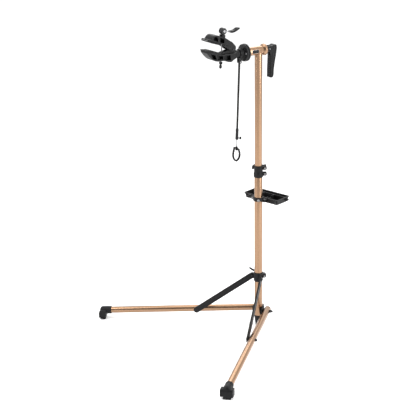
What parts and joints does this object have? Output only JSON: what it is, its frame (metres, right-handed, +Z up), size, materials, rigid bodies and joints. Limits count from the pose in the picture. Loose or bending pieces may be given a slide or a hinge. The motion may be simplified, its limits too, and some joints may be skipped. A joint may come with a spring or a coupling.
{
  "type": "bicycle work stand",
  "caption": "Folding bicycle work stand: telescoping round mast, braced folding legs, cam-locked turning clamp head, hanging stabiliser rod and clip-on tool tray.",
  "frame": {"origin": "middle of the underside of the whole stand's box, on the floor", "axes": "+Z up along the mast, the clamp and the open side of the legs towards -X, legs spread to +Y and -Y"},
  "size_m": [0.7285, 1.1088, 1.476],
  "materials": {
    "gold_anodised": "satin champagne-gold anodised",
    "black_plastic": "fine-grained moulded nylon",
    "grey_plastic": "moulded",
    "black_painted": "black powder coat",
    "black_steel": "black oxide",
    "steel": "zinc plated",
    "rubber": "matt moulded rubber",
    "badge": "plain, no mark"
  },
  "bodies": {
    "base": {"lower_mast_tube": "gold_anodised", "mast_end_plug": "black_plastic", "leg_bracket": "black_plastic", "left_leg_pivot_bolt": "black_steel", "right_leg_pivot_bolt": "black_steel", "mast_collar": "black_plastic", "mast_clamp_bolt": "steel", "mast_pinch_bolt": "steel"},
    "left_leg": {"left_leg_tube": "gold_anodised", "left_leg_end_plug": "grey_plastic", "left_brace_bolt": "black_steel", "left_foot": "black_plastic", "left_foot_pad": "rubber"},
    "right_leg": {"right_leg_tube": "gold_anodised", "right_leg_end_plug": "grey_plastic", "right_brace_bolt": "black_steel", "right_foot": "black_plastic", "right_foot_pad": "rubber"},
    "sliding_collar": {"sliding_collar": "black_plastic", "collar_clamp_bolt": "steel", "left_collar_pin": "steel", "right_collar_pin": "steel"},
    "left_brace": {"left_brace": "black_painted"},
    "right_brace": {"right_brace": "black_painted"},
    "collar_lever": {"collar_quick_release": "black_plastic"},
    "tray": {"tool_tray": "black_plastic", "tray_clamp": "black_plastic", "tray_front_bolt": "steel", "tray_side_bolt": "steel"},
    "mast_lever": {"mast_quick_release": "black_plastic"},
    "mast_guide": {"mast_guide_bushing": "grey_plastic"},
    "upper_mast": {"upper_mast_tube": "gold_anodised", "head_tube": "gold_anodised", "head_end_ring": "gold_anodised", "head_bushing": "grey_plastic", "badge_plate": "badge", "release_spring": "steel", "fixed_toothed_disc": "black_plastic", "cam_seat": "grey_plastic", "head_spindle": "steel"},
    "head_cam_lever": {"head_cam_lever": "black_plastic"},
    "clamp": {"turning_toothed_disc": "black_plastic", "disc_screw": "steel", "fixed_jaw": "black_plastic", "fixed_jaw_pad": "rubber", "jaw_hinge_pin": "steel", "adjusting_nut": "black_steel"},
    "moving_jaw": {"moving_jaw": "black_plastic", "moving_jaw_pad": "rubber"},
    "clamp_rod": {"clamp_rod": "steel", "clamp_cam": "black_plastic"},
    "clamp_lever": {"clamp_lever_fork": "steel", "clamp_lever_grip": "black_plastic"},
    "hanger": {"rod_hanger": "black_plastic", "hanger_pin": "steel"},
    "stabiliser": {"stabiliser_tube": "black_painted", "stabiliser_sleeve": "black_plastic"},
    "stabiliser_rod": {"stabiliser_rod": "steel", "stabiliser_hook": "black_plastic"},
    "stabiliser_knob": {"stabiliser_knob": "black_plastic"}
  },
  "joints": [
    {"name": "left_leg_fold", "type": "hinge", "parent": "base", "child": "left_leg", "pos_m": [0.2507, 0.03141, 0.0795], "axis": [0.6428, 0.766, 0], "range_deg": [0, 47]},
    {"name": "right_leg_fold", "type": "hinge", "parent": "base", "child": "right_leg", "pos_m": [0.2507, -0.03141, 0.0795], "axis": [-0.6428, 0.766, 0], "range_deg": [0, 47]},
    {"name": "collar_slide", "type": "slide", "parent": "base", "child": "sliding_collar", "axis": [0, 0, 1], "range_m": [0, 0.3088]},
    {"name": "left_brace_pivot", "type": "hinge", "parent": "sliding_collar", "child": "left_brace", "pos_m": [0.21301, 0.03471, 0.253], "axis": [0.6428, 0.766, 0], "range_deg": [-21, 0]},
    {"name": "right_brace_pivot", "type": "hinge", "parent": "sliding_collar", "child": "right_brace", "pos_m": [0.21301, -0.03471, 0.253], "axis": [-0.6428, 0.766, 0], "range_deg": [-21, 0]},
    {"name": "collar_lever", "type": "hinge", "parent": "sliding_collar", "child": "collar_lever", "pos_m": [0.25776, -0.00294, 0.259], "axis": [0, 0, -1], "range_deg": [0, 100]},
    {"name": "tray_swivel", "type": "hinge", "parent": "base", "child": "tray", "pos_m": [0.22435, 0, 0.65], "axis": [0, 0, 1], "range_deg": [0, 60]},
    {"name": "mast_lever", "type": "hinge", "parent": "base", "child": "mast_lever", "pos_m": [0.25919, -0.00332, 0.801], "axis": [0, 0, -1], "range_deg": [0, 100]},
    {"name": "mast_slide", "type": "slide", "parent": "base", "child": "mast_guide", "axis": [0, 0, 1], "range_m": [-0.43, 0.12]},
    {"name": "mast_turn", "type": "hinge", "parent": "mast_guide", "child": "upper_mast", "pos_m": [0.22435, 0, 0.9], "axis": [0, 0, 1], "continuous": true},
    {"name": "head_cam_lever", "type": "hinge", "parent": "upper_mast", "child": "head_cam_lever", "pos_m": [0.28035, 0, 1.35], "axis": [0, 1, 0], "range_deg": [-90, 0]},
    {"name": "clamp_turn", "type": "hinge", "parent": "upper_mast", "child": "clamp", "pos_m": [0.12435, 0, 1.35], "axis": [-1, 0, 0], "continuous": true},
    {"name": "jaw_open", "type": "hinge", "parent": "clamp", "child": "moving_jaw", "pos_m": [0.06935, 0, 1.378], "axis": [0, 1, 0], "range_deg": [-6, 12]},
    {"name": "clamp_rod_travel", "type": "slide", "parent": "clamp", "child": "clamp_rod", "axis": [0.0872, 0, 0.9962], "range_m": [-0.006, 0.011]},
    {"name": "clamp_lever", "type": "hinge", "parent": "clamp_rod", "child": "clamp_lever", "pos_m": [0.02911, 0, 1.46157], "axis": [0, -1, 0], "range_deg": [0, 110]},
    {"name": "hanger_turn", "type": "hinge", "parent": "clamp", "child": "hanger", "pos_m": [0.11835, 0, 1.35], "axis": [-1, 0, 0], "range_deg": [-90, 90]},
    {"name": "stabiliser_swing", "type": "hinge", "parent": "hanger", "child": "stabiliser", "pos_m": [0.11835, 0, 1.312], "axis": [0, 1, 0], "range_deg": [-8, 60]},
    {"name": "stabiliser_extend", "type": "slide", "parent": "stabiliser", "child": "stabiliser_rod", "axis": [-0.0454, 0, -0.999], "range_m": [-0.025, 0.25]},
    {"name": "stabiliser_knob", "type": "hinge", "parent": "stabiliser", "child": "stabiliser_knob", "pos_m": [0.10247, 0, 0.96236], "axis": [0.8233, -0.5664, -0.0374], "range_deg": [0, 360]}
  ],
  "couplings": [
    {"joint": "right_leg_fold", "follows": "left_leg_fold", "ratio": 1},
    {"joint": "collar_slide", "follows": "left_leg_fold", "m_per_rad": 0.37585},
    {"joint": "left_brace_pivot", "follows": "left_leg_fold", "ratio": -0.44429},
    {"joint": "right_brace_pivot", "follows": "left_leg_fold", "ratio": -0.44429},
    {"joint": "clamp_rod_travel", "follows": "jaw_open", "m_per_rad": 0.050134}
  ]
}
